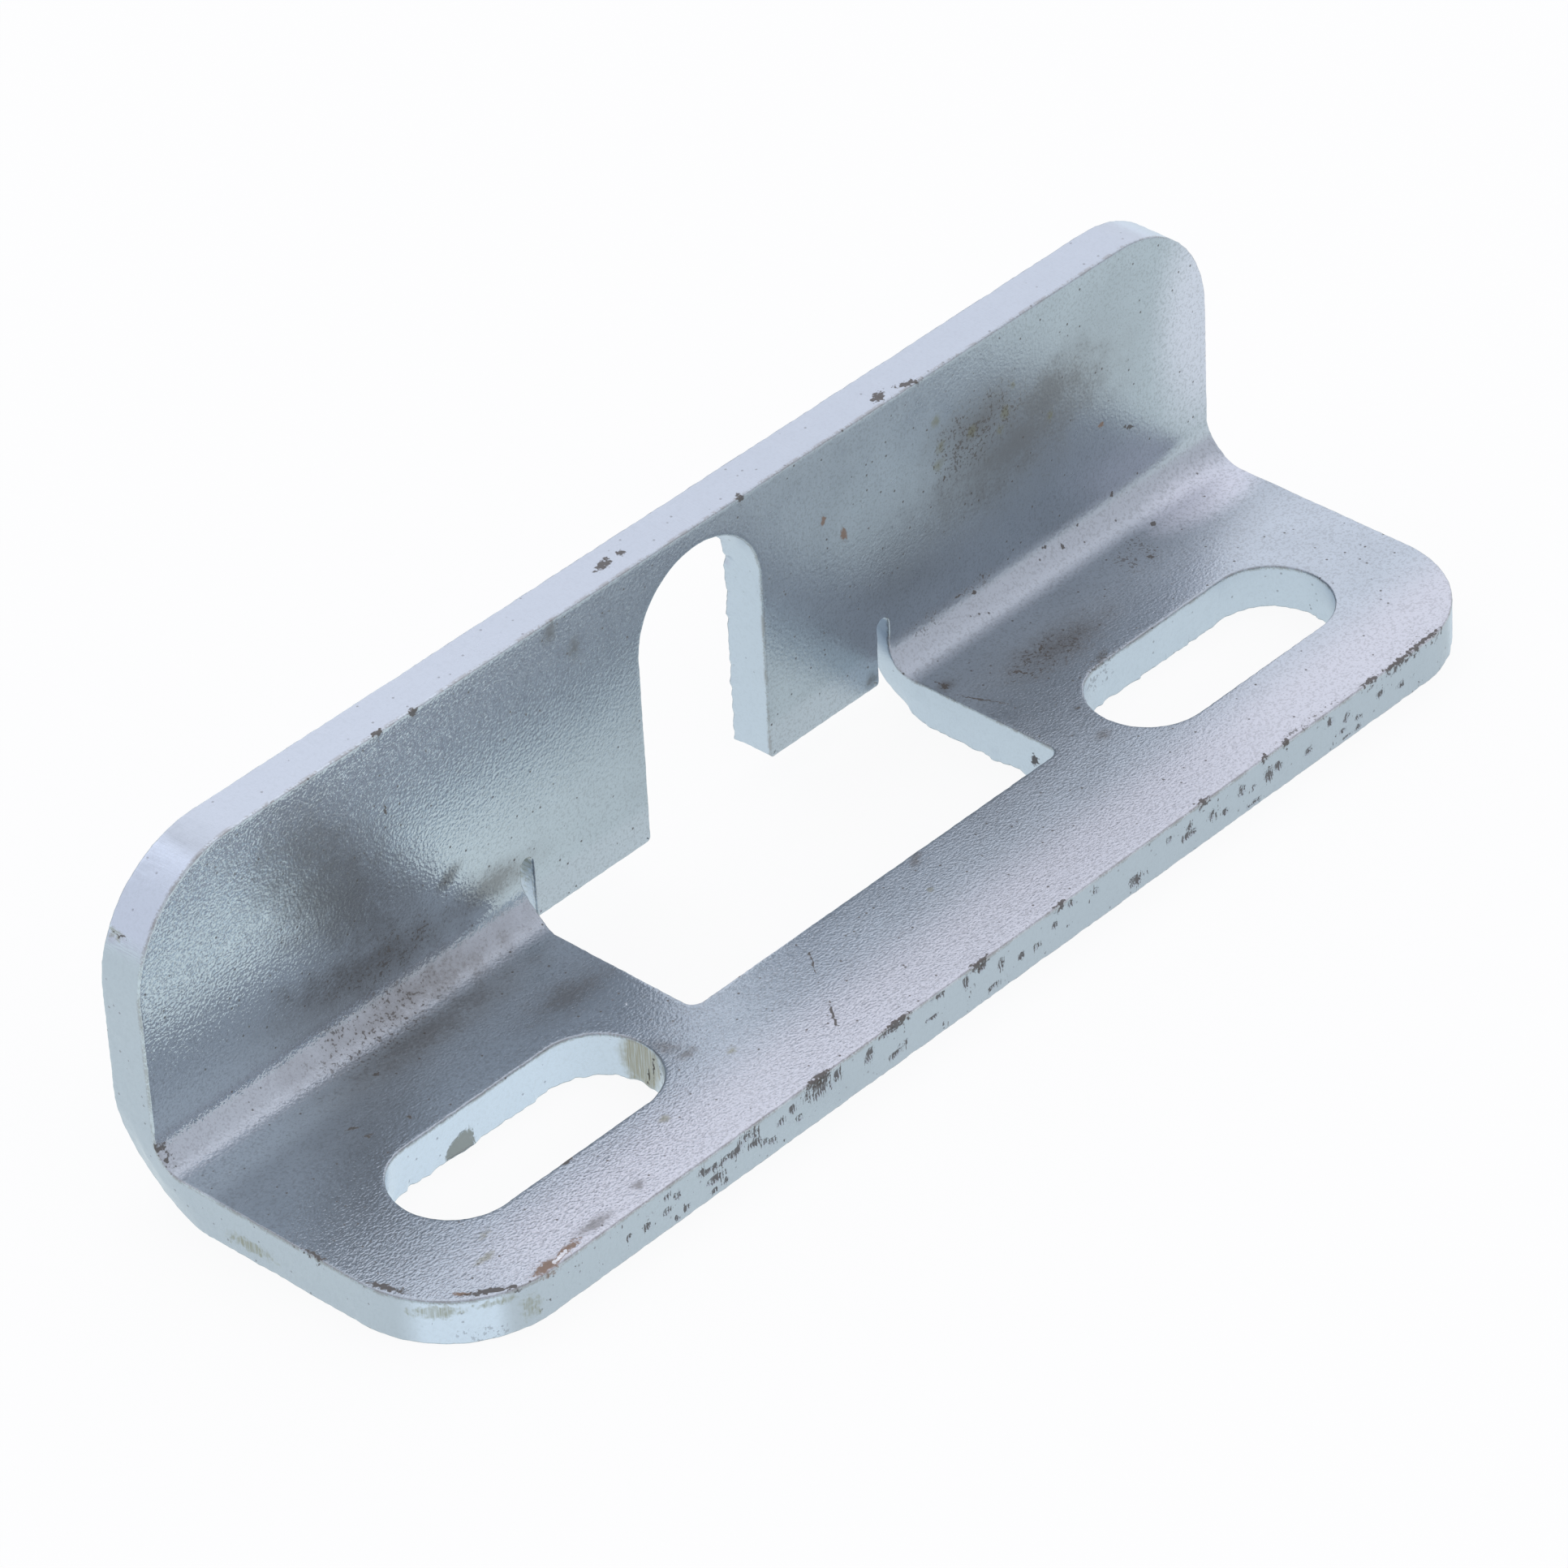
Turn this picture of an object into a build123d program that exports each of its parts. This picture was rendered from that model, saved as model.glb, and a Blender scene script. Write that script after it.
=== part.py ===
from build123d import *
from math import sqrt
import os

# Pressed steel angle bracket, in millimetres. X runs along the length, Y from
# the free edge of the base to the upright, and Z up. The origin lies under the
# middle of the part: half way along it, half way across it, on its underside.

# Sheet and overall size
sheet = 4.0
length = 120.0
base_width = 34.6
height = 28.9

# Bend
bend_inner_radius = 3.2
bend_outer_radius = 8.2

# Where the bend meets a cut end, its outer half is drawn in and its inner half
# is squeezed out
end_neck = 0.6
end_bulge = 0.3
end_bulge_reach = 3.0

# Rounded outline
base_corner_radius = 9.8
upright_corner_radius = 10.4

# Two long slots in the base, for bolts
slot_length = 25.3
slot_width = 10.3
slot_end_margin = 8.1
slot_edge_margin = 7.85

# Window in the base between the slots, open through the bend
slot_window_web = 5.6
window_land = 13.0
window_corner_radius = 1.0

# Two flat tabs that hang straight down from the upright into the window, each
# cut free of the bend by a narrow relief whose round top reaches past the bend
tab_ground_gap = 3.2
relief_width = 1.4
relief_reach = 1.0

# Round-topped notch between the tabs
notch_width = 13.8
notch_bridge = 1.8

# Roll-over that the punch leaves along the edges of the inner faces
edge_roll = 0.25

# Places that the features share
over = 1.0
front = -base_width / 2
back = base_width / 2
inner_face = back - sheet
slot_x = length / 2 - slot_end_margin - slot_length / 2
slot_y = front + slot_edge_margin + slot_width / 2
window_half = slot_x - slot_length / 2 - slot_window_web
window_front = front + window_land
tab_half = window_half - relief_width
relief_radius = relief_width / 2
relief_x = window_half - relief_radius
bend_top = max(sheet + bend_inner_radius, bend_outer_radius)
relief_z = bend_top + relief_reach - relief_radius
tab_top = relief_z + over
notch_z = height - notch_bridge - notch_width / 2


def angle_bar(run):
    """L section with its two bend radii, run along X about the middle."""
    with BuildPart() as bar:
        with BuildSketch(Plane.YZ) as section:
            with BuildLine():
                Polyline(
                    (front, 0),
                    (back, 0),
                    (back, height),
                    (inner_face, height),
                    (inner_face, sheet),
                    (front, sheet),
                    close=True,
                )
            make_face()
            fillet(section.vertices().sort_by_distance((back, 0))[0], bend_outer_radius)
            fillet(section.vertices().sort_by_distance((inner_face, sheet))[0], bend_inner_radius)
        extrude(amount=run / 2, both=True)
    return bar.part


def rounded_outline():
    """The space inside the rounded corners of the base and of the upright."""
    with BuildPart() as base:
        with BuildSketch() as plan:
            Rectangle(length, base_width)
            fillet(plan.vertices().group_by(Axis.Y)[0], base_corner_radius)
        extrude(amount=height)
    with BuildPart() as upright:
        with BuildSketch(Plane.XZ.offset(-back)) as face:
            Rectangle(length, height, align=(Align.CENTER, Align.MIN))
            fillet(face.vertices().group_by(Axis.Y)[-1], upright_corner_radius)
        extrude(amount=base_width)
    return base.part & upright.part


def window():
    """Opening in the base, carried back through the bend to the outer face."""
    with BuildPart() as opening:
        with BuildSketch(Plane.XY.offset(-over)) as plan:
            with Locations((0, window_front)):
                Rectangle(2 * window_half, back + over - window_front, align=(Align.CENTER, Align.MIN))
            fillet(plan.vertices().group_by(Axis.Y)[0], window_corner_radius)
        extrude(amount=over + relief_z)
    return opening.part


def tabs():
    """One plate in the upright's own plane, up into the flat above the bend, later parted by the notch."""
    with BuildPart() as plate:
        with BuildSketch(Plane.XZ.offset(-back)):
            with Locations((0, tab_ground_gap)):
                Rectangle(2 * tab_half, tab_top - tab_ground_gap, align=(Align.CENTER, Align.MIN))
        extrude(amount=sheet)
    return plate.part


def upright_cuts():
    """The notch and the round tops of the two reliefs, through the upright."""
    with BuildPart() as cuts:
        with BuildSketch(Plane.XZ.offset(-back - over)):
            with Locations((0, notch_z)):
                Circle(notch_width / 2)
                Rectangle(notch_width, notch_z + over, align=(Align.CENTER, Align.MAX))
            with Locations((-relief_x, relief_z), (relief_x, relief_z)):
                Circle(relief_radius)
        extrude(amount=sheet + 2 * over)
    return cuts.part


def slots():
    """The two bolt slots, along the length, through the base."""
    with BuildPart() as cuts:
        with BuildSketch(Plane.XY.offset(-over)):
            with Locations((-slot_x, slot_y), (slot_x, slot_y)):
                SlotOverall(slot_length, slot_width)
        extrude(amount=sheet + 2 * over)
    return cuts.part


def inner_skin_edges(body):
    """The cut edges of the base's top, the bend's hollow and the upright's inner face."""
    skin = []
    for face in body.faces():
        middle = face.position_at(0.5, 0.5)
        looks = face.normal_at(middle)
        on_base = looks.Z > 0.99 and abs(middle.Z - sheet) < 0.01
        on_upright = looks.Y < -0.99 and abs(middle.Y - inner_face) < 0.01
        in_bend = face.geom_type == GeomType.CYLINDER and looks.Y < -0.5 and looks.Z > 0.5
        if on_base or on_upright or in_bend:
            skin.append(face)
    edges = [edge for face in skin for edge in face.edges()]
    return [edge for edge in edges if sum(edge.is_same(other) for other in edges) == 1]


def end_swell(end_x, outward):
    """Shallow cap that the squeezed inner half of the bend raises on a cut end."""
    ball_radius = (end_bulge_reach**2 + end_bulge**2) / (2 * end_bulge)
    across = (1 - sqrt(0.5)) * bend_inner_radius
    crown = Vector(end_x + outward * (end_bulge - ball_radius), inner_face - across, sheet + across)
    with BuildPart() as cap:
        with Locations(crown):
            Sphere(ball_radius, rotation=(0, 0, 90))
        with Locations((end_x, inner_face, sheet)):
            Box(2 * end_bulge, 2 * ball_radius, 2 * ball_radius, mode=Mode.INTERSECT)
    return cap.part & angle_bar(length + 2 * over)


def end_draw(end_x, outward):
    """Tilted wedge that the stretched outer half of the bend gives up at a cut end."""
    chord = bend_outer_radius * sqrt(0.5)
    slope = end_neck / (bend_outer_radius - chord)
    bisector = Plane(origin=(end_x, back, 0), x_dir=(outward, 0, 0), z_dir=(0, 1, 1))
    with BuildPart() as wedge:
        with BuildSketch(bisector):
            with BuildLine():
                Polyline(
                    (-slope * chord, 0),
                    (0, -outward * chord),
                    (over, -outward * chord),
                    (over, 0),
                    close=True,
                )
            make_face()
        extrude(amount=bend_outer_radius, both=True)
    return wedge.part


def bracket():
    """The whole pressing: bent, pierced, rolled along its edges and shaped where the bend ends."""
    pierced = (angle_bar(length) & rounded_outline()) - window() + tabs() - upright_cuts() - slots()
    pressing = pierced.fillet(edge_roll, inner_skin_edges(pierced))
    for side in (-1, 1):
        for end_x, outward in ((side * length / 2, side), (side * window_half, -side)):
            pressing = pressing + end_swell(end_x, outward) - end_draw(end_x, outward)
    return pressing


os.makedirs("parts", exist_ok=True)
export_step(bracket(), "parts/bracket.step")
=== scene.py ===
import math

import bmesh
import bpy
from mathutils import Matrix, Vector, kdtree, noise


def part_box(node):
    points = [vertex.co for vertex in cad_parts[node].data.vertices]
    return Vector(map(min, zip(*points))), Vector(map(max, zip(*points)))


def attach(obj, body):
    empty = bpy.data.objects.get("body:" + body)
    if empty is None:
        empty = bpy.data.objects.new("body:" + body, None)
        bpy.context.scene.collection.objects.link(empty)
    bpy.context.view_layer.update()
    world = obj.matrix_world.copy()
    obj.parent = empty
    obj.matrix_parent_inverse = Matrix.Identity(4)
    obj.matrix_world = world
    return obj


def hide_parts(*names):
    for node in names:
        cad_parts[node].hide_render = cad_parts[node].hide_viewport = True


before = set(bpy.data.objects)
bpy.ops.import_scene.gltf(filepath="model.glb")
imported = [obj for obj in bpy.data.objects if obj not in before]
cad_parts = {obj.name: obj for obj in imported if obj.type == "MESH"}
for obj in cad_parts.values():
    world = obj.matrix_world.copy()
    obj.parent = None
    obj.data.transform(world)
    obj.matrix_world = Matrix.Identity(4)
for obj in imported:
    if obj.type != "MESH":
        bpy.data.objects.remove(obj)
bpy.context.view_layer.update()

low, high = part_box("bracket")
mm = 0.001
print("frame loaded")


# camera, floor and light

view = {
    "aim": (6.4285, 11.6452, 1.7495),   # mm, the point in the middle of the picture
    "azimuth": -45.8734,                # degrees round Z, 0 looks along +Y
    "elevation": 36.1726,
    "roll": -3.0687,
    "distance": 646.0,                  # mm
    "lens": 189.75,                     # mm
    "sensor": 36.0,                     # mm
    "nearest": 0.05,                    # m
    "farthest": 20.0,
}


def addCamera(use):
    azimuth = math.radians(use["azimuth"])
    elevation = math.radians(use["elevation"])
    roll = math.radians(use["roll"])
    back = Vector((math.sin(azimuth) * math.cos(elevation),
                   -math.cos(azimuth) * math.cos(elevation),
                   math.sin(elevation)))
    side = Vector((math.cos(azimuth), math.sin(azimuth), 0))
    top = back.cross(side)
    right = side * math.cos(roll) + top * math.sin(roll)
    up = top * math.cos(roll) - side * math.sin(roll)
    data = bpy.data.cameras.new("camera")
    data.sensor_width = use["sensor"]
    data.lens = use["lens"]
    data.clip_start = use["nearest"]
    data.clip_end = use["farthest"]
    camera = bpy.data.objects.new("camera", data)
    bpy.context.scene.collection.objects.link(camera)
    turn = Matrix((right, up, back)).transposed().to_4x4()
    camera.matrix_world = Matrix.Translation((Vector(use["aim"]) + back * use["distance"]) * mm) @ turn
    bpy.context.scene.camera = camera


addCamera(view)
bpy.context.scene.view_settings.view_transform = "Standard"
print("camera set")


class Socket:
    # wraps a node socket so that shader maths reads as arithmetic
    def __init__(self, tree, link):
        self.tree = tree
        self.link = link

    def math(self, operation, *others):
        return self.tree.add("ShaderNodeMath", {"operation": operation}, self, *others)[0]

    def __add__(self, other):
        return self.math("ADD", other)

    def __radd__(self, other):
        return self.math("ADD", other)

    def __sub__(self, other):
        return self.math("SUBTRACT", other)

    def __rsub__(self, other):
        return self.tree.add("ShaderNodeMath", {"operation": "SUBTRACT"}, other, self)[0]

    def __mul__(self, other):
        return self.math("MULTIPLY", other)

    def __rmul__(self, other):
        return self.math("MULTIPLY", other)


class Tree:
    # adds nodes to one shader tree, settings first and sockets after
    def __init__(self, data):
        data.use_nodes = True
        self.nodes = data.node_tree.nodes
        self.links = data.node_tree.links
        self.nodes.clear()

    def add(self, kind, settings=None, *values, **named):
        # values go to the sockets in their order, and None passes one over
        node = self.nodes.new(kind)
        for name, value in (settings or {}).items():
            setattr(node, name, value)
        for place, value in list(enumerate(values)) + list(named.items()):
            if value is None:
                continue
            name = place.replace("_", " ") if isinstance(place, str) else place
            target = node.inputs[name]
            if isinstance(value, Socket):
                self.links.new(value.link, target)
            elif isinstance(value, (tuple, list)) and len(value) == 3 and len(target.default_value) == 4:
                target.default_value = (*value, 1)
            else:
                target.default_value = value
        return [Socket(self, socket) for socket in node.outputs]

    def vector(self, operation, *values, **named):
        # sockets 0 and 1 hold the vector and the number that it works out
        return self.add("ShaderNodeVectorMath", {"operation": operation}, *values, **named)

    def ramp(self, value, start, end):
        # 0 before start and 1 past end, or the other way round when start is the larger
        smooth = {"interpolation_type": "SMOOTHSTEP"}
        return self.add("ShaderNodeMapRange", smooth, value, start, end, 0.0, 1.0)[0]

    def mixValue(self, factor, first, second):
        return self.add("ShaderNodeMix", None, factor, None, first, second)[0]

    def mixColour(self, factor, first, second):
        # its colour sockets are numbers 6 and 7, behind those for numbers and vectors
        return self.add("ShaderNodeMix", {"data_type": "RGBA"}, factor, *[None] * 5, first, second)[2]


studio = {
    "floorSize": 6.0,                      # m
    "floorGap": 0.05,                      # mm under the bracket
    "floorColour": (0.90, 0.985, 1.0),     # as the metal sees it
    "floorSeen": (1, 1, 1),                # as the camera sees it
    "floorGlow": 0.9,                      # share of the floor that shines by itself
    "skyLow": 0.78,                        # brightness of the far side of the room
    "skyHigh": 1.27,                       # brightness of the large soft window
    "skyColour": (0.955, 0.965, 1.05),
    "skyTurn": 43.0,                       # degrees round Z from +X to the window
    "skyRise": 31.0,                       # degrees up to it
    "skyFrom": 0.30,                       # cosine at which the window starts to show
}


def addStudio(use):
    data = bpy.data.materials.new("floorPaper")
    tree = Tree(data)
    path = tree.add("ShaderNodeLightPath")
    camera, glossy, through = path[0], path[3], path[6]
    paper = tree.mixColour(camera, use["floorColour"], use["floorSeen"])
    plain = tree.add("ShaderNodeBsdfDiffuse", None, paper)[0]
    glow = tree.add("ShaderNodeEmission", None, paper, 1.0)[0]
    seen = camera.math("MAXIMUM", glossy).math("MAXIMUM", through)
    mixed = tree.add("ShaderNodeMixShader", None, seen * use["floorGlow"], plain, glow)[0]
    tree.add("ShaderNodeOutputMaterial", None, mixed)
    sheet = bmesh.new()
    bmesh.ops.create_grid(sheet, x_segments=1, y_segments=1, size=use["floorSize"] / 2)
    bmesh.ops.translate(sheet, verts=sheet.verts, vec=(0, 0, low.z - use["floorGap"] * mm))
    mesh = bpy.data.meshes.new("floor")
    sheet.to_mesh(mesh)
    sheet.free()
    mesh.materials.append(data)
    floor = bpy.data.objects.new("floor", mesh)
    bpy.context.scene.collection.objects.link(floor)

    world = bpy.data.worlds.new("studio")
    bpy.context.scene.world = world
    tree = Tree(world)
    ray = tree.add("ShaderNodeTexCoord")[0]
    turn, rise = math.radians(use["skyTurn"]), math.radians(use["skyRise"])
    toward = (math.cos(turn) * math.cos(rise), math.sin(turn) * math.cos(rise), math.sin(rise))
    lean = tree.vector("DOT_PRODUCT", ray, toward)[1]
    share = tree.ramp(lean, use["skyFrom"], 2.0 - use["skyFrom"])     # half way up in the window's middle
    level = share * (2 * (use["skyHigh"] - use["skyLow"])) + use["skyLow"]
    sky = tree.add("ShaderNodeBackground", None, use["skyColour"], level)[0]
    tree.add("ShaderNodeOutputWorld", None, sky)


addStudio(studio)
print("floor and light set")


# the bracket, cut as a flat blank, rolled along its edges, worn, then bent

bracket = {                   # mm
    "length": 120.0,
    "sheet": 4.0,
    "baseCorner": 9.8,
    "uprightCorner": 10.4,
    "slotX": 39.25,
    "slotY": -4.3,
    "slotLength": 25.3,
    "slotWidth": 10.3,
    "windowHalf": 21.0,
    "windowFront": -4.3,
    "windowCorner": 1.0,
    "tabHalf": 19.6,
    "tabFoot": 3.2,           # height of the tabs' feet
    "tabCorner": 0.35,
    "reliefTop": 9.2,
    "notchHalf": 6.9,
    "notchTop": 27.1,
    "innerRadius": 3.2,
    "outerRadius": 8.2,
    "bendRun": 8.5,           # length of the bend on the blank
    "swellRun": 7.0,          # length of base over which the sheet grows to the bend's thickness
    "rimStep": 0.27,          # spacing of points along a rim
    "frontStep": 0.2,
    "rollReach": 0.16,        # soft rim that the punch leaves on the inner skin
    "rollDrop": 0.13,
    "rollRings": 4,
    "burrReach": 0.08,        # sharper rim on the outer skin
    "burrRings": 2,
    "rimBand": 0.25,          # band of even faces inside each rim
    "skinStep": 1.3,          # spacing of points over the flats
    "endStep": 0.5,           # and near the ends of the bend
    "bendSteps": 24,
    "bendMargin": 1.0,        # how far the bend's finer grid runs past it
    "wallSteps": 14,
    "endSwell": 0.27,         # inner half squeezed out at the bend's outer ends
    "windowSwell": 0.42,
    "endNeck": 0.6,           # outer half drawn in
    "endReach": 4.0,
    "endSlack": 0.3,          # how far a worn end may stand out and still swell
}
shy = 0.001                   # mm that a full round stays short of half its width
weld = 0.01                   # mm within which points are one
front, back, height = low.y / mm, high.y / mm, high.z / mm
innerFace = back - bracket["sheet"]
bendStart = innerFace - bracket["innerRadius"]
bendEnd = bendStart + bracket["bendRun"]
tangentZ = bracket["sheet"] + bracket["innerRadius"]
lift = bendEnd - tangentZ            # from a height on the upright to its place on the blank
reliefX = (bracket["windowHalf"] + bracket["tabHalf"]) / 2
reliefRadius = (bracket["windowHalf"] - bracket["tabHalf"]) / 2


def outline(bm, corners, step):
    # a flat face through the corners (x, y, radius), each rounded
    verts = [bm.verts.new((x, y, 0)) for x, y, radius in corners]
    bm.faces.new(verts)
    for radius in sorted({corner[2] for corner in corners if corner[2]}):
        group = [vert for vert, corner in zip(verts, corners) if corner[2] == radius]
        bmesh.ops.bevel(bm, geom=group, offset=radius, offset_type="OFFSET", profile=0.5, material=-1,
                        segments=max(5, round(radius * math.pi / 2 / step)), affect="VERTICES")


def cutBlank(use):
    bm = bmesh.new()
    half = use["length"] / 2
    top = height + lift
    outline(bm, [(-half, front, use["baseCorner"]), (half, front, use["baseCorner"]),
                 (half, top, use["uprightCorner"]), (-half, top, use["uprightCorner"])], use["rimStep"])
    for centre in (-use["slotX"], use["slotX"]):
        x, y, r = use["slotLength"] / 2, use["slotWidth"] / 2, use["slotWidth"] / 2 - shy
        outline(bm, [(centre - x, use["slotY"] - y, r), (centre + x, use["slotY"] - y, r),
                     (centre + x, use["slotY"] + y, r), (centre - x, use["slotY"] + y, r)], use["rimStep"])
    window, tab, notch = use["windowHalf"], use["tabHalf"], use["notchHalf"]
    right = [(window, use["windowFront"], use["windowCorner"]),
             (window, use["reliefTop"] + lift, reliefRadius - shy),
             (tab, use["reliefTop"] + lift, reliefRadius - shy),
             (tab, use["tabFoot"] + lift, use["tabCorner"]),
             (notch, use["tabFoot"] + lift, use["tabCorner"]),
             (notch, use["notchTop"] + lift, notch - shy)]
    outline(bm, right + [(-x, y, r) for x, y, r in reversed(right)], use["rimStep"])
    bmesh.ops.remove_doubles(bm, verts=bm.verts, dist=weld)
    bmesh.ops.delete(bm, geom=bm.faces[:], context="FACES_ONLY")
    for edge in bm.edges[:]:
        step = use["frontStep"] if all(vert.co.y < front + weld for vert in edge.verts) else use["rimStep"]
        cuts = int(edge.calc_length() / step - 0.2)     # a side just over its step stays whole
        if cuts > 0:
            bmesh.ops.subdivide_edges(bm, edges=[edge], cuts=cuts)
    bmesh.ops.triangle_fill(bm, use_beauty=True, edges=bm.edges[:])
    return bm


def rollRim(bm, skin, reach, drop, rings):
    # raises the skin ring by ring along a quarter round
    was = (0, 0)
    for ring in range(1, rings + 1):
        turn = math.pi / 2 * ring / rings
        now = (reach * (1 - math.cos(turn)), drop * math.sin(turn))
        bmesh.ops.inset_region(bm, faces=skin, thickness=now[0] - was[0], depth=now[1] - was[1],
                               use_boundary=True, use_even_offset=True)
        was = now


def cutAcross(bm, geom, places, axis):
    for place in places:
        spot = Vector((0, 0, 0))
        spot[axis] = place
        way = Vector((0, 0, 0))
        way[axis] = 1
        geom = bmesh.ops.bisect_plane(bm, geom=geom, dist=1e-5, plane_co=spot, plane_no=way)["geom"]
    return geom


def spaced(start, end, step):
    count = max(1, math.ceil((end - start) / step))
    return [start + (end - start) * i / count for i in range(count + 1)]


def thicken(bm, use):
    grown = bmesh.ops.extrude_face_region(bm, geom=bm.faces[:])["geom"]
    raised = [part for part in grown if isinstance(part, bmesh.types.BMVert)]
    bmesh.ops.translate(bm, verts=bm.verts, vec=(0, 0, use["burrReach"]))
    bmesh.ops.translate(bm, verts=raised, vec=(0, 0, use["sheet"] - use["rollDrop"] - use["burrReach"]))
    bmesh.ops.recalc_face_normals(bm, faces=bm.faces)
    inner = [face for face in bm.faces if face.normal.z > 0.9]
    outer = [face for face in bm.faces if face.normal.z < -0.9]
    walls = [face for face in bm.faces if abs(face.normal.z) < 0.1]
    geom = walls + list({edge for face in walls for edge in face.edges})
    geom += list({vert for face in walls for vert in face.verts})
    levels = spaced(use["burrReach"], use["sheet"] - use["rollDrop"], use["sheet"] / use["wallSteps"])
    cutAcross(bm, geom, levels[1:-1], 2)
    rollRim(bm, inner, use["rollReach"], use["rollDrop"], use["rollRings"])
    rollRim(bm, outer, use["burrReach"], use["burrReach"], use["burrRings"])
    for skin in (inner, outer):
        bmesh.ops.inset_region(bm, faces=skin, thickness=use["rimBand"], depth=0,
                               use_boundary=True, use_even_offset=True)
    return inner + outer


def gridSkins(bm, skins, use):
    # cuts both skins into an even grid, then drops the fill's own edges
    fill = bm.edges.layers.int.new("fill")
    members = set(skins)
    edges = {edge for face in skins for edge in face.edges}
    for edge in edges:
        if all(face in members for face in edge.link_faces):
            edge[fill] = 1
    geom = list(skins) + list(edges) + list({vert for face in skins for vert in face.verts})
    half, window, near = use["length"] / 2, use["windowHalf"], use["endReach"]
    margin, step, endStep = use["bendMargin"], use["skinStep"], use["endStep"]
    xs = spaced(0, window - margin, step) + spaced(window - margin, window + near, endStep)[1:]
    xs += spaced(window + near, half - near, step)[1:] + spaced(half - near, half, endStep)[1:-1]
    xs = sorted({round(x, 5) for x in xs} | {-round(x, 5) for x in xs})
    ys = spaced(front, bendStart - margin, step)[1:]
    ys += spaced(bendStart - margin, bendEnd + margin, (use["bendRun"] + 2 * margin) / use["bendSteps"])[1:]
    ys += spaced(bendEnd + margin, height + lift, step)[1:-1]
    geom = cutAcross(bm, geom, xs, 0)
    cutAcross(bm, geom, ys, 1)
    bmesh.ops.dissolve_edges(bm, edges=[edge for edge in bm.edges if edge[fill]], use_verts=True)


wear = {                      # mm
    "seed": 3,                # of the noise that moves the rims, which the clock sets otherwise
    "tornRim": 0.46,          # waviness of the outer rim of the openings
    "tornOutline": 0.10,
    "tornFrom": (1.4, 0.1),   # heights between which it grows
    "tornSizes": (2.0, 0.65),
    "fracture": 0.05,         # coarse lower part of the cut walls
    "fractureFrom": (2.8, 2.0),
    "chippedRim": 0.05,       # small chips along the inner rim
    "chippedFrom": (3.5, 3.9),
    "chipSize": 0.5,
    "rimFade": 0.9,           # how far from a rim the skin follows it
    "nearRim": 1.0,
    "endSlack": 0.05,         # how far the wear may stand out of the ends
    "pitDepth": 0.11,
    "pitSide": 0.3,           # share of a pit that its sloping side takes
    "pitFrom": (3.9, 3.5),    # heights between which the pits start
    "pitRimSize": 0.4,
    "pitRagged": 0.7,         # how broken the pits' rims are
    "chipRagged": 0.15,
    "chipLean": 0.3,
    "slotChip": (-41.1, 0.4, 1.5, 1.5),     # in the far wall of the left slot
    "pits": [                 # along the front wall: x, height, half length, half height
        (-21.3, 3.0, 1.5, 0.75), (-19.4, 3.1, 0.5, 0.45), (-23.7, 1.6, 0.35, 0.3),
        (-24.3, 2.8, 0.4, 0.35), (-25.6, 2.5, 0.35, 0.3), (-12.9, 1.1, 0.8, 0.3),
        (-12.2, 1.55, 0.6, 0.25), (-15.8, 2.7, 0.5, 0.65), (-13.9, 3.6, 0.7, 0.25), (-8.9, 2.0, 0.7, 0.2),
        (-30.5, 2.6, 0.7, 0.4), (-29.4, 3.3, 0.6, 0.35), (-28.5, 3.1, 0.4, 0.4), (-26.5, 1.3, 0.5, 0.3),
        (-32.8, 1.6, 0.8, 0.4), (-31.7, 0.7, 0.4, 0.2), (-35.9, 0.9, 0.4, 0.25), (-33.0, 0.5, 0.5, 0.2),
        (-37.0, 0.4, 0.3, 0.2), (-40.1, 1.7, 0.5, 0.3), (-42.2, 1.85, 0.4, 0.25), (-38.0, 3.1, 0.4, 0.2),
        (-34.2, 3.0, 0.5, 0.3), (-3.0, 3.4, 0.6, 0.3), (-0.9, 2.4, 0.3, 0.6), (-4.9, 3.1, 0.3, 0.55),
        (-7.9, 3.6, 0.7, 0.2), (-1.9, 0.8, 0.6, 0.2), (3.4, 1.6, 0.6, 0.25), (1.4, 1.8, 0.35, 0.3),
        (14.7, 1.2, 0.7, 0.5), (5.3, 2.4, 0.3, 0.3), (7.3, 3.4, 0.4, 0.25), (10.1, 2.9, 0.3, 0.3),
        (21.1, 1.8, 0.8, 0.35), (24.0, 2.0, 0.5, 0.45), (25.5, 1.5, 0.4, 0.3), (27.5, 2.4, 0.4, 0.5),
        (29.0, 1.9, 0.4, 0.3), (30.8, 2.1, 0.4, 0.55), (31.9, 2.2, 0.4, 0.4), (38.4, 2.8, 0.5, 0.35),
        (40.4, 2.1, 0.4, 0.4), (41.8, 1.35, 0.35, 0.25), (39.9, 1.2, 0.4, 0.2), (44.6, 2.2, 0.4, 0.3),
        (47.2, 1.6, 0.4, 0.3), (41.8, 0.4, 0.5, 0.25), (40.3, 0.3, 0.5, 0.2), (35.7, 1.6, 0.5, 0.3),
        (29.0, 0.4, 0.7, 0.25), (21.3, 2.6, 0.35, 0.4), (18.8, 2.7, 0.4, 0.3), (-38.1, 1.8, 0.5, 0.3),
        (-36.8, 2.5, 0.4, 0.35), (-33.7, 2.7, 0.6, 0.25), (-32.7, 2.6, 0.5, 0.3), (-31.8, 2.7, 0.5, 0.35),
        (-28.5, 2.2, 0.6, 0.3), (-27.4, 1.7, 0.4, 0.3),
    ],
}


def eased(value, start, end):
    share = max(0.0, min(1.0, (value - start) / (end - start)))
    return share * share * (3 - 2 * share)


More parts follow.
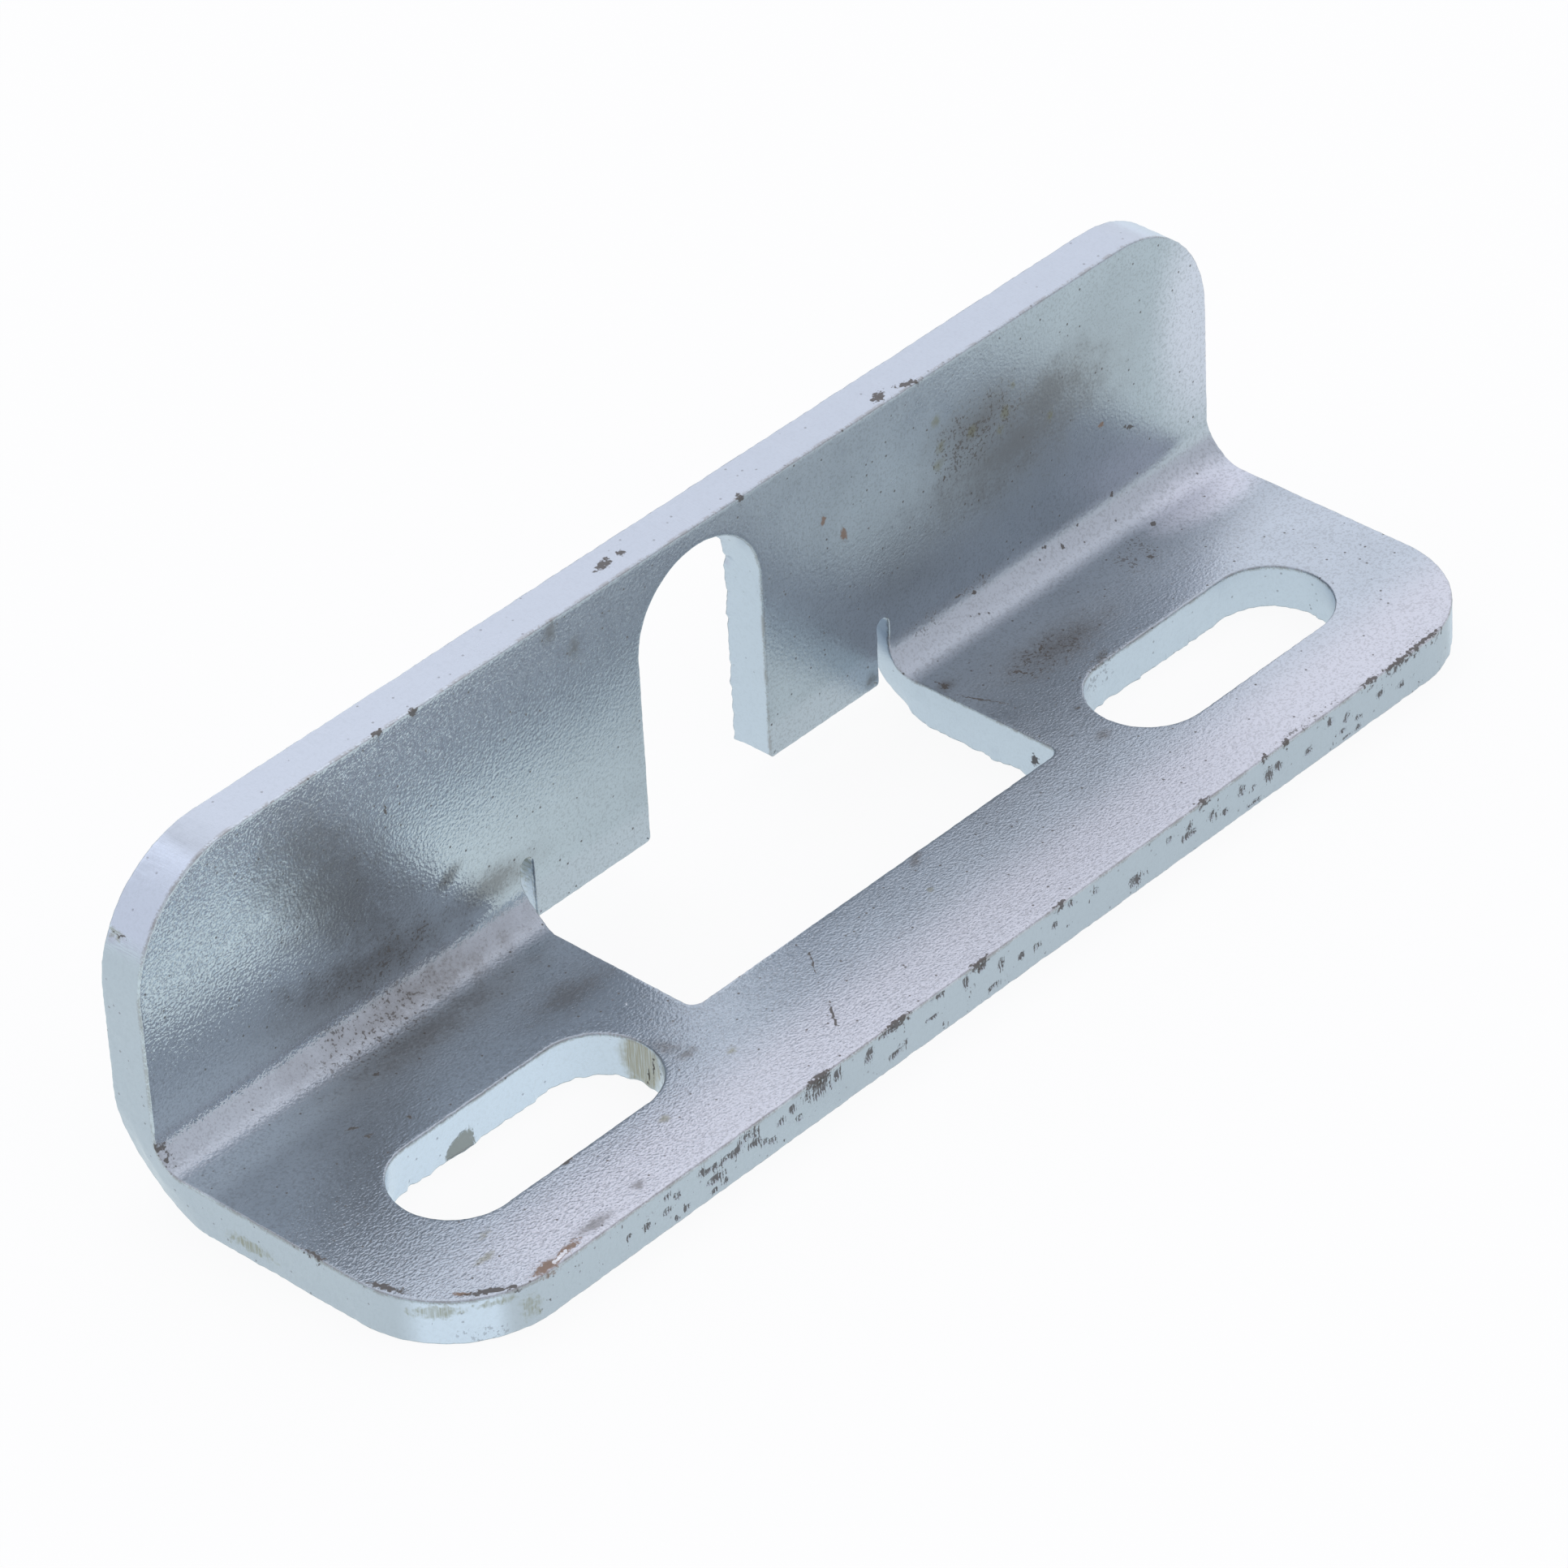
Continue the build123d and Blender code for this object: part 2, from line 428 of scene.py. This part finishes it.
def pitAt(x, h, pits, ragged):
    # above 0 inside a pit, its rim broken up
    deepest = max(1 - math.hypot((x - middle) / long, (h - rise) / tall) for middle, rise, long, tall in pits)
    return max(-1.0, deepest + ragged * noise.noise(Vector((x, h, 3.0)) / wear["pitRimSize"]))


def wearBlank(bm, shape, use):
    # tears the outer rims, chips the inner ones and sinks the pits while the blank is still flat
    bm.normal_update()
    rims = list(dict.fromkeys(vert for face in bm.faces if abs(face.normal.z) < 0.2 for vert in face.verts))
    nearest = kdtree.KDTree(len(rims))
    for index, vert in enumerate(rims):
        nearest.insert((vert.co.x, vert.co.y, 0), index)
    nearest.balance()
    edge = bm.verts.layers.float.new("edge")
    pit = bm.verts.layers.float.new("pit")
    top = height + lift
    near = use["nearRim"]
    longest = shape["length"] / 2 + use["endSlack"]
    slotFar = shape["slotY"] + shape["slotWidth"] / 2
    for vert in bm.verts:
        x, y, h = vert.co
        gone = nearest.find((x, y, 0))[2]
        vert[edge] = gone
        vert[pit] = -1.0
        fade = max(0.0, 1 - gone / use["rimFade"]) ** 2
        if fade == 0:
            continue
        inSlot = (abs(abs(x) - shape["slotX"]) < shape["slotLength"] / 2 + near
                  and abs(y - shape["slotY"]) < shape["slotWidth"] / 2 + near)
        inWindow = abs(x) < shape["windowHalf"] + near and shape["windowFront"] - near < y < top - near
        torn = (use["tornRim"] if inSlot or inWindow else use["tornOutline"]) * eased(h, *use["tornFrom"])
        coarse = use["fracture"] * eased(h, *use["fractureFrom"])
        coarse += use["chippedRim"] * eased(h, *use["chippedFrom"])
        large, small = use["tornSizes"]
        wave = noise.noise_vector(Vector((x, y, 0)) / large) * 0.5
        wave += noise.noise_vector(Vector((x, y, 9)) / small) * 0.5
        move = (wave * torn + noise.noise_vector(Vector((x, y, h)) / use["chipSize"]) * coarse) * fade
        if y < front + 0.02 and 0.2 < h < use["pitFrom"][0]:
            vert[pit] = pitAt(x, h, use["pits"], use["pitRagged"])
        elif x < 0 and abs(y - slotFar) < 0.02:
            vert[pit] = pitAt(x - (h - 1) * use["chipLean"], h, [use["slotChip"]], use["chipRagged"])
        sunk = use["pitDepth"] * eased(vert[pit], 0, use["pitSide"]) * eased(h, *use["pitFrom"])
        vert.co.x = max(-longest, min(longest, x + move.x))
        vert.co.y = max(front, min(top, y + move.y + sunk))


def bentPoint(x, y, h, use):
    # where a point of the blank lies once the upright is turned up, and how far into the bend it is
    depth = 1 - h / use["sheet"]
    gap = use["outerRadius"] - use["innerRadius"] - use["sheet"]
    turned = 0.0
    if y > bendStart and abs(x) < reliefX:                 # the tabs hang straight
        return Vector((x, innerFace + depth * use["sheet"], y - lift)), 0.0
    if y <= bendStart:
        slide = gap * max(0.0, min(1.0, (y - bendStart + use["swellRun"]) / use["swellRun"]))
        inner = Vector((x, y, use["sheet"]))
        outer = Vector((x, y - slide, 0))
    elif y < bendEnd:
        turned = (y - bendStart) / use["bendRun"] * math.pi / 2
        s, c = math.sin(turned), math.cos(turned)
        inner = Vector((x, bendStart + use["innerRadius"] * s, tangentZ - use["innerRadius"] * c))
        outer = Vector((x, back - use["outerRadius"] + use["outerRadius"] * s, use["outerRadius"] * (1 - c)))
    else:
        rise = y - lift
        above = use["reliefTop"] - reliefRadius
        slide = gap * max(0.0, (above - rise) / (above - tangentZ))
        inner = Vector((x, innerFace, rise))
        outer = Vector((x, back, rise + slide))
    return inner.lerp(outer, depth), math.sin(2 * turned)


def swollenX(x, bent, depth, use):
    # the squeezed inner half stands out of a cut end, the stretched outer half draws in
    ends = ((use["length"] / 2, 1, use["endSwell"]), (use["windowHalf"], -1, use["windowSwell"]))
    for end, outward, swell in ends:
        gone = max(0.0, (end - abs(x)) * outward) / use["endReach"]
        if gone < 1 and (abs(x) - end) * outward < use["endSlack"]:
            fade = (1 - gone) ** 2 * bent
            move = swell * max(0.0, 1 - 2 * depth) - use["endNeck"] * max(0.0, 2 * depth - 1)
            return x + math.copysign(1, x) * outward * move * fade
    return x


def bendUp(bm, use):
    for vert in bm.verts:
        x, y, h = vert.co
        place, bent = bentPoint(x, y, h, use)
        place.x = swollenX(x, bent, 1 - h / use["sheet"], use)
        vert.co = place


noise.seed_set(wear["seed"])
bm = cutBlank(bracket)
print("blank cut", len(bm.verts), len(bm.faces))
skins = thicken(bm, bracket)
print("blank thickened", len(bm.verts), len(bm.faces))
gridSkins(bm, skins, bracket)
print("skins gridded", len(bm.verts), len(bm.faces))
blank = bm.verts.layers.float_vector.new("blank")
for vert in bm.verts:
    vert[blank] = vert.co
wearBlank(bm, bracket, wear)
print("blank worn")
bendUp(bm, bracket)
bmesh.ops.scale(bm, verts=bm.verts, vec=(mm, mm, mm))
bmesh.ops.triangulate(bm, faces=[face for face in bm.faces if len(face.verts) > 4])
loose = [edge for edge in bm.edges if len(edge.link_faces) != 2]
print("open edges", len(loose), "volume mm3", round(bm.calc_volume() / mm ** 3), "faces", len(bm.faces))
mesh = bpy.data.meshes.new("zincBracket")
bm.to_mesh(mesh)
bm.free()
mesh.shade_smooth()
plate = bpy.data.objects.new("zincBracket", mesh)
bpy.context.scene.collection.objects.link(plate)
print("bracket bent")


# zinc plate, its soil and its wear, with some painted shadow and a painted highlight

zinc = {
    "tint": (0.455, 0.505, 0.55),
    "tintSpread": (0.93, 1.06),            # darkest and palest clouds, as shares of the tint
    "tintLeft": (0.585, 0.645, 0.69),      # cleaner upright at the left end
    "tintFront": (0.555, 0.57, 0.615),     # cleaner strip along the front
    "tintBend": (0.51, 0.55, 0.60),
    "wallTint": (0.505, 0.55, 0.605),
    "holeTint": (0.61, 0.67, 0.745),       # clean walls of the openings
    "holeTintLeft": (0.68, 0.75, 0.85),
    "paintedSheenTint": (0.73, 0.75, 0.82),       # painted highlight: pale sheen at the right end of the bend and the upright, in place of reflected light
    "wornColour": (0.2, 0.2, 0.2),
    # this dark colour also paints the shadow in the crevice at the left end of the bend
    "sootAndShadowColour": (0.10, 0.085, 0.07),
    "chipColour": (0.37, 0.39, 0.32),
    "rustColour": (0.26, 0.15, 0.08),
    # this olive colour also paints the shade on the tab's side wall in the left relief
    "oliveAndShadeColour": (0.26, 0.25, 0.15),
    "filmColour": (0.19, 0.182, 0.176),
    "beigeColour": (0.36, 0.345, 0.28),
    "rimColour": (0.20, 0.165, 0.13),
    "whiteColour": (0.85, 0.86, 0.88),
    "cover": {                             # how much of the metal each kind hides
        "worn": 0.27, "film": 0.7, "olive": 0.55, "rust": 0.8, "rim": 0.4, "pepper": 0.75, "pitted": 0.8,
        "soot": 0.85},
    "metallic": 0.95,
    "roughLeft": 0.12,          # glossier towards the left end
    "roughRight": 0.29,
    "roughDull": 0.7,           # in soot and painted shadow, pits and rust
    "fineSize": 0.18,           # mm, noises that break up the rims of the marks
    "gritSize": 0.34,
    "broadSize": 1.6,
    "mottleSize": 5.0,
    "crumpleScale": 2.2,        # per mm
    "crumple": 0.7,             # mm that it moves the marks' rims
    "pepperSize": 0.8,
    "drawnSize": (0.12, 0.12, 2.2),         # mm, lines that the punch draws down the walls
    "drawnDepth": 0.012,
    "peelSize": 0.27,           # mm, leathery skin of the upright and the bend
    "peelLeft": 0.044,          # mm
    "peelRight": 0.02,
    "wrinkleSize": (0.28, 0.2, 0.28),       # mm, crinkled skin of the base
    "wrinkleDepth": 0.036,
    "pitRimDepth": 0.05,
    # marks: face, two places on it, half length, half width, turn in degrees; or at, place, half sizes
    "soot": [
        ("base", -54.6, -15.6, 2.4, 0.35, -36), ("base", -59.2, -9.4, 2.0, 0.35, -72),
        ("base", -59.8, -3.0, 1.4, 0.2, 90), ("top", -8.1, 15.3, 1.1, 0.55, 15),
        ("top", -6.1, 15.3, 0.45, 0.35, 0), ("base", 21.8, 8.5, 0.45, 0.35, 0),
        ("base", 21.9, 8.6, 0.12, 1.0, 0), ("base", 22.4, 4.8, 2.5, 0.11, -68),
        ("at", (20.9, -1.7, 1.8), (0.5, 0.5, 0.6)), ("top", 21.9, 14.3, 0.9, 0.5, 25),
        ("top", 24.7, 13.8, 1.1, 0.35, -20), ("top", -30.6, 13.3, 0.5, 0.3, 0),
        ("top", -34.4, 13.5, 0.6, 0.25, 0), ("top", 5.1, 13.4, 0.5, 0.2, 0),
        ("base", -11.4, -7.7, 1.05, 0.13, 56), ("base", -15.1, -13.1, 1.9, 0.13, 55),
        ("base", -10.6, -6.6, 0.3, 0.1, 20), ("base", 26.8, 5.3, 0.3, 0.25, 0),
        ("base", 49.4, 10.2, 0.25, 0.2, 0), ("base", 45.7, 7.3, 0.35, 0.25, 40),
        ("base", 30.5, 5.9, 0.9, 0.12, 30), ("base", 27.1, 5.0, 0.9, 0.14, 100),
        ("base", -41.9, 8.6, 0.25, 0.2, 0), ("base", -46.2, 12.9, 0.3, 0.25, 0),
        ("base", -23.5, 14.4, 0.3, 0.25, 0), ("base", -47.6, 5.4, 0.6, 0.17, -25),
        ("base", -47.5, 3.8, 0.5, 0.15, -20), ("base", -44.0, 3.1, 0.24, 0.2, 0),
        ("base", 43.3, -17.1, 1.2, 0.25, 0), ("base", 50.0, -17.05, 3.1, 0.22, 2),
        ("at", (-26.95, -5.4, 2.2), (0.5, 0.13, 1.4)), ("at", (-26.8, -4.7, 1.1), (0.5, 0.12, 0.9)),
        ("at", (-27.4, -6.4, 2.6), (0.5, 0.13, 1.1)), ("base", 46.8, -17.2, 2.2, 0.25, 0),
        ("base", 23.0, -17.2, 0.9, 0.2, 0), ("base", 30.3, -17.2, 0.5, 0.2, 0),
        ("base", 5.9, -17.2, 0.8, 0.2, 0), ("base", -3.2, -17.2, 1.2, 0.22, 0),
        ("base", -12.5, -17.2, 1.6, 0.25, 0), ("base", -21.5, -17.2, 1.8, 0.2, 0),
        ("base", 33.1, -17.2, 0.5, 0.2, 0), ("base", -40.4, -9.6, 0.7, 0.2, 0),
        ("base", 26.2, -1.7, 0.35, 0.15, 20), ("upright", 50.3, 11.7, 1.0, 0.17, -25),
        ("upright", -34.3, 21.9, 0.16, 0.6, 10), ("upright", 5.1, 28.7, 0.4, 0.2, 0),
        ("upright", 28.0, 18.5, 0.2, 0.3, 0), ("upright", 27.0, 20.0, 0.15, 0.3, 0),
        ("at", (-58.8, 15.9, 23.3), (0.8, 0.9, 0.07)), ("at", (29.1, 13.2, 6.6), (0.45, 0.3, 0.16)),
        ("at", (30.7, 13.1, 6.1), (0.4, 0.3, 0.13)), ("at", (32.0, 13.2, 6.8), (0.16, 0.3, 0.4)),
        ("at", (39.4, 13.0, 5.9), (0.32, 0.3, 0.17)), ("at", (41.0, 12.6, 5.2), (0.24, 0.25, 0.25)),
        ("at", (47.8, 13.2, 6.4), (0.25, 0.3, 0.13)), ("at", (43.4, 13.0, 5.9), (0.25, 0.25, 0.13)),
        # painted shadow: the marks on the end stand in for the shadow in the crevice where the bend's swollen
        # edge lifts
        ("end", 13.0, 5.9, 0.6, 0.2, 42), ("end", 12.4, 5.2, 0.6, 0.22, 42),
        ("end", 11.8, 4.7, 0.5, 0.2, 30),
    ],
    "rust": [
        ("upright", 14.0, 21.9, 0.35, 0.45, 0), ("upright", 16.3, 19.4, 0.38, 0.85, 15),
        ("upright", 46.9, 13.6, 0.35, 0.4, 0), ("base", -50.0, -16.8, 1.7, 0.6, 0),
        ("base", -47.9, -16.6, 1.7, 0.4, 5), ("base", -56.3, -14.2, 0.7, 0.25, -40),
    ],
    "olive": [
        ("upright", 27.4, 24.1, 0.7, 0.8, 0), ("upright", 31.5, 21.1, 0.8, 0.8, 0),
        ("upright", 35.4, 20.8, 0.7, 0.8, 0), ("upright", 34.7, 19.4, 0.7, 0.8, 0),
        ("upright", 27.7, 21.6, 0.8, 0.7, 0), ("upright", 27.3, 20.0, 0.9, 0.7, 0),
        ("upright", 36.5, 22.9, 0.5, 0.5, 0), ("upright", 40.8, 17.8, 0.6, 0.6, 0),
        ("base", -32.2, -11.8, 0.7, 0.6, 0), ("base", -23.1, -10.1, 0.8, 0.5, 0),
        ("base", 1.2, -8.4, 0.4, 0.4, 0), ("base", -52.4, -12.7, 1.2, 0.5, 0),
        ("base", -50.5, -10.8, 1.2, 0.5, 20),
    ],
    "film": [
        ("upright", -28.6, 12.2, 2.0, 0.9, 25), ("upright", -16.2, 27.9, 0.9, 1.3, 0),
        ("upright", -13.7, 25.2, 0.8, 1.2, 0), ("upright", 32.5, 21.5, 7.0, 3.5, 0),
        ("upright", 36.0, 17.5, 14.0, 6.0, 8), ("upright", -24.6, 9.0, 6.0, 2.0, 0),
        ("upright", -37.0, 9.5, 12.0, 3.0, -8), ("upright", -39.5, 17.0, 15.0, 6.5, -62),
        ("at", (-34.0, 11.8, 5.4), (14.0, 2.6, 2.6)), ("upright", 40.0, 19.5, 8.0, 4.0, 10),
        ("upright", 18.7, 4.2, 0.8, 0.8, 0), ("base", 31.5, 5.0, 7.0, 2.6, 0),
        ("base", -36.0, 9.2, 13.0, 2.4, 0), ("base", 3.3, -5.0, 1.3, 0.5, 30),
        ("base", 21.9, 8.4, 1.2, 0.9, 0), ("base", -44.5, -16.1, 2.4, 0.6, 0),
        ("base", -39.1, -15.5, 0.7, 0.45, 0), ("base", 32.5, 1.3, 1.6, 0.5, 30),
        ("base", 24.8, -5.6, 0.9, 0.7, 0), ("base", -25.9, -5.9, 0.9, 1.9, 20),
        ("base", -25.5, -7.7, 1.2, 0.7, 0), ("base", -25.8, 4.0, 5.0, 2.2, 0),
    ],
    "beige": [
        ("at", (-26.7, -4.2, 2.0), (1.3, 2.6, 3.2)),
    ],
    "stainAndShade": [
        ("at", (-57.9, -13.2, 3.0), (2.6, 2.0, 0.7)), ("at", (-54.5, -16.0, 3.3), (2.5, 0.9, 0.4)),
        ("at", (-52.0, -16.9, 1.6), (1.0, 0.6, 1.6)), ("at", (-58.9, 16.4, 23.4), (0.9, 0.9, 0.45)),
        # painted shade: the mark at x -19.6 darkens the tab's side wall in the left relief, where shade
        # falls; its streaks follow the real shear lines
        ("at", (-19.6, 15.3, 8.0), (0.6, 3.0, 3.0)), ("at", (-60.0, 4.0, 1.4), (0.6, 3.0, 0.7)),
        ("at", (60.0, -13.0, 2.0), (2.5, 2.5, 1.4)),
    ],
    # painted highlight: pale, half-metallic patches at the right end that stand in for reflected light
    "paintedSheen": [
        ("at", (55.0, 9.6, 4.5), (9.0, 3.6, 3.0)), ("at", (60.0, 13.3, 18.0), (8.0, 1.5, 14.0)),
    ],
    "speckled": [
        ("at", (25.0, 12.5, 6.4), (4.0, 1.3, 1.3)), ("at", (31.5, 12.7, 6.8), (5.0, 1.0, 1.1)),
        ("at", (43.0, 12.8, 7.0), (9.0, 0.6, 0.8)), ("base", 32.5, 1.2, 4.0, 1.0, 0),
        ("base", 30.0, 5.0, 6.0, 2.5, 0), ("at", (-38.0, 11.5, 5.2), (9.0, 3.2, 2.6)),
        ("upright", -36.0, 9.0, 8.0, 2.5, 0), ("base", 45.5, 8.5, 4.0, 2.5, 20),
        ("upright", 32.0, 21.0, 7.0, 4.5, 0), ("base", 50.0, -16.8, 5.0, 0.7, 0),
        ("top", 22.4, 14.3, 1.8, 1.1, 0), ("top", 25.2, 13.8, 1.6, 0.8, 0),
        ("base", 36.0, -16.9, 7.0, 0.5, 0), ("at", (31.0, 0.85, 2.8), (3.5, 0.6, 1.6)),
        ("at", (-55.5, -15.3, 0.7), (4.0, 2.2, 1.0)),
    ],
    "white": [
        ("base", -48.6, -16.75, 1.1, 0.24, 8), ("base", -23.9, 0.0, 0.25, 0.25, 0),
    ],
}
markDepth = 0.9               # mm, how far a mark on a face reaches into it
marksAtOnce = 12
trace = 1e-5


def markPlace(mark):
    # a mark's middle, turn and half sizes
    if mark[0] == "at":
        return mark[1], (0, 0, 0), mark[2]
    face, first, second, long, wide, turn = mark
    turn = math.radians(turn)
    if face == "upright":
        return (first, innerFace, second), (0, -turn, 0), (long, markDepth, wide)
    if face == "end":
        return (-bracket["length"] / 2, first, second), (turn, 0, 0), (markDepth, long, wide)
    rise = height if face == "top" else bracket["sheet"]
    return (first, second, rise), (0, 0, turn), (long, wide, markDepth)


def marked(tree, spot, marks):
    # 1 in the middle of any mark, 0 at its rim and less outside; the place is handed on
    # with a trace of the last result, so that the marks are worked out a few at a time
    found = None
    for count, mark in enumerate(marks, 1):
        centre, turn, reach = markPlace(mark)
        if any(turn):
            local = tree.add("ShaderNodeMapping", {"vector_type": "TEXTURE"}, spot, centre, turn, reach)[0]
        else:
            fit = [1 / part for part in reach]
            slide = [-part / size for part, size in zip(centre, reach)]
            local = tree.vector("MULTIPLY_ADD", spot, fit, slide)[0]
        away = tree.vector("LENGTH", local)[1]
        found = away if found is None else found.math("MINIMUM", away)
        if count % marksAtOnce == 0 or count == len(marks):
            spot = tree.vector("MULTIPLY_ADD", found, [trace] * 3, spot)[0]
    return 1 - found, spot


def zincPlate(use):
    data = bpy.data.materials.new("zincPlate")
    tree = Tree(data)
    ramp = tree.ramp
    place = tree.add("ShaderNodeTexCoord")[3]
    spot = tree.vector("SCALE", place, Scale=1 / mm)[0]
    x, y, z = tree.add("ShaderNodeSeparateXYZ", None, spot)
    blankAt = tree.add("ShaderNodeAttribute", {"attribute_name": "blank"})[1]
    across, deep = tree.add("ShaderNodeSeparateXYZ", None, blankAt)[1:]
    edge = tree.add("ShaderNodeAttribute", {"attribute_name": "edge"})[2]
    pit = tree.add("ShaderNodeAttribute", {"attribute_name": "pit"})[2]

    def grain(size, detail=2.0, at=spot):
        # noise with grains of one size, or of one size each way
        if isinstance(size, tuple):
            at, size = tree.vector("MULTIPLY", at, [1 / part for part in size])[0], 1.0
        return tree.add("ShaderNodeTexNoise", None, at, Scale=1 / size, Detail=detail)[0]

    # where the surface is, places in mm
    wall = ramp(deep, 3.85, 3.7) * ramp(deep, 0.05, 0.15)
    rightward = ramp(x, -52, 15)
    flat = ramp(across, 9.0, 6.5)                     # 1 on the base, 0 on the bend and the upright
    bendBand = ramp(across, 10, 11.5) * ramp(across, 18.6, 17.2)
    bendFoot = ramp(across, 14, 10) * ramp(across, 2, 7)
    inside = ramp(x.math("ABSOLUTE"), 59.6, 58.5) * ramp(y, -16.8, -16.0) * ramp(z, 28.6, 28.0)
    behind = ramp(y, -9, -3)

    # crumpled coordinates give the marks broken rims
    crumple = tree.add("ShaderNodeTexNoise", None, spot, Scale=use["crumpleScale"], Detail=1.0)[1]
    shift = tree.vector("SUBTRACT", crumple, (0.5, 0.5, 0.5))[0]
    crumpled = tree.vector("MULTIPLY_ADD", shift, [use["crumple"]] * 3, spot)[0]
    fine = grain(use["fineSize"], 1.0) - 0.5
    broad = grain(use["broadSize"]) - 0.5
    grit = grain(use["gritSize"]) - 0.5
    drawn = grain(use["drawnSize"], at=blankAt) - 0.5

    near = {}
    for kind in ("soot", "rust", "olive", "film", "beige", "stainAndShade", "white", "paintedSheen", "speckled"):
        near[kind], crumpled = marked(tree, crumpled, use[kind])
    # soot, and the painted shadow in the crevice at the left end of the bend
    soot = ramp(near["soot"] + fine + grit * 1.6, 0.0, 0.4)
    rust = ramp(near["rust"] + fine * 0.9 + grit, -0.1, 0.5)
    olive = ramp(near["olive"] + broad * 1.2 + fine * 0.8, 0.0, 0.9)
    film = ramp(near["film"] + broad * 0.8 + grit * 1.3 + fine, -0.25, 1.0) * (1 - wall)
    beige = ramp(near["beige"] + broad * 0.6, 0.0, 0.4) * wall
    # painted highlight at the right end, paler and less metallic
    paintedSheen = ramp(near["paintedSheen"] + grit * 0.3, 0.0, 0.7)
    # stains on the walls, and painted shade on the tab's side wall in the left relief
    stainAndShade = ramp(near["stainAndShade"] + broad * 1.2 + grit * 1.5, -0.1, 0.7) * wall
    white = ramp(near["white"] + fine * 0.6, 0.1, 0.3)
    loud = grit + fine * 0.5 + broad * 0.4 + near["speckled"] * 0.08
    specks = ramp(near["speckled"], 0.0, 0.5) * ramp(loud, 0.13, 0.2) * 0.8

    # pepper: small dark specks, thick in some places
    cells = tree.add("ShaderNodeTexVoronoi", None, spot, Scale=1 / use["pepperSize"])
    dots = ramp(cells[0], 0.17, 0.09)
    chosen = ramp(tree.add("ShaderNodeSeparateColor", None, cells[1])[0] + broad * 0.8, 0.70, 0.78)
    pepper = (dots * chosen).math("MAXIMUM", specks) * (1 - wall * 0.5)

    # the rim: a thin brown line, broken up
    rim = ramp(edge, 0.16, 0.02) * ramp(deep, 3.55, 3.8) * ramp(broad + fine, -0.08, 0.12)

    # pits along the front wall, and the chip in the left slot, which is less broken up
    broken = (drawn * 3.4 + fine * 1.5) * (1 - behind * 0.8)
    pitted = ramp(pit * 0.8 + broken, 0.12 - behind * 0.1, 0.26 - behind * 0.1)
    stray = ramp(grit + drawn * 0.6 + broad, 0.32, 0.4) * ramp(y, -17.0, -17.2) * wall
    pitted = pitted.math("MAXIMUM", stray)

    crinkle = grain(use["wrinkleSize"])
    mottle = grain(use["mottleSize"]) - 0.5
    dark, pale = ([part * share for part in use["tint"]] for share in use["tintSpread"])
    tint = tree.mixColour(ramp(mottle + broad * 0.6, -0.5, 0.5), dark, pale)
    tint = tree.mixColour(ramp(x, -3, -40) * (1 - flat), tint, use["tintLeft"])
    tint = tree.mixColour(ramp(y, -8, -14) * ramp(x, -60, -46), tint, use["tintFront"])
    tint = tree.mixColour(bendBand * 0.8, tint, use["tintBend"])
    clean = tree.mixColour(ramp(x, -24, -32), use["holeTint"], use["holeTintLeft"])
    clean = tree.mixColour(inside, use["wallTint"], clean)
    tint = tree.mixColour(wall, tint, clean)
    tint = tree.mixColour(paintedSheen, tint, use["paintedSheenTint"])
    worn = ramp(fine + (crinkle - 0.5) * flat + grit, 0.05, -0.25) * (1 - wall * 0.8)

    cover = use["cover"]
    colour = tint
    for share, paint in (
            (worn * cover["worn"], use["wornColour"]),
            (film * cover["film"], use["filmColour"]),
            (stainAndShade * (0.5 + drawn * 1.5), use["oliveAndShadeColour"]),
            (beige * (0.85 + drawn * 1.5), use["beigeColour"]),
            (olive * cover["olive"], use["oliveAndShadeColour"]),
            (rust * cover["rust"], use["rustColour"]),
            (rim * cover["rim"], use["rimColour"]),
            (pepper * cover["pepper"], use["sootAndShadowColour"]),
            (pitted * cover["pitted"], tree.mixColour(behind, use["sootAndShadowColour"], use["chipColour"])),
            (soot * cover["soot"], use["sootAndShadowColour"]),
            (white, use["whiteColour"])):
        colour = tree.mixColour(share, colour, paint)

    dull = soot.math("MAXIMUM", pitted).math("MAXIMUM", rust * 0.8).math("MAXIMUM", pepper * 0.6)
    rough = rightward * (use["roughRight"] - use["roughLeft"]) + use["roughLeft"]
    rough = rough + broad * 0.08 + wall * 0.08 + film * 0.12 + olive * 0.1 + bendFoot * (1 - wall) * 0.2
    rough = tree.mixValue(dull, rough, use["roughDull"])
    metallic = tree.mixValue(dull * 0.8, use["metallic"], 0.0) * (1 - paintedSheen * 0.5)

    peelDepth = use["peelLeft"] + rightward * (use["peelRight"] - use["peelLeft"])
    peel = grain(use["peelSize"], 1.0) * peelDepth
    skin = tree.mixValue(flat, peel, crinkle * use["wrinkleDepth"]) * (1 - wall * 0.8)
    relief = skin + drawn * wall * use["drawnDepth"] - ramp(pit, 0.0, 0.3) * use["pitRimDepth"]
    bumped = tree.add("ShaderNodeBump", None, Strength=1.0, Distance=mm, Height=relief)[0]
    shader = tree.add("ShaderNodeBsdfPrincipled", None, Base_Color=colour, Metallic=metallic,
                      Roughness=rough, Normal=bumped)[0]
    tree.add("ShaderNodeOutputMaterial", None, shader)
    return data


plate.data.materials.append(zincPlate(zinc))
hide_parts("bracket")
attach(plate, "root")
print("bracket finished")
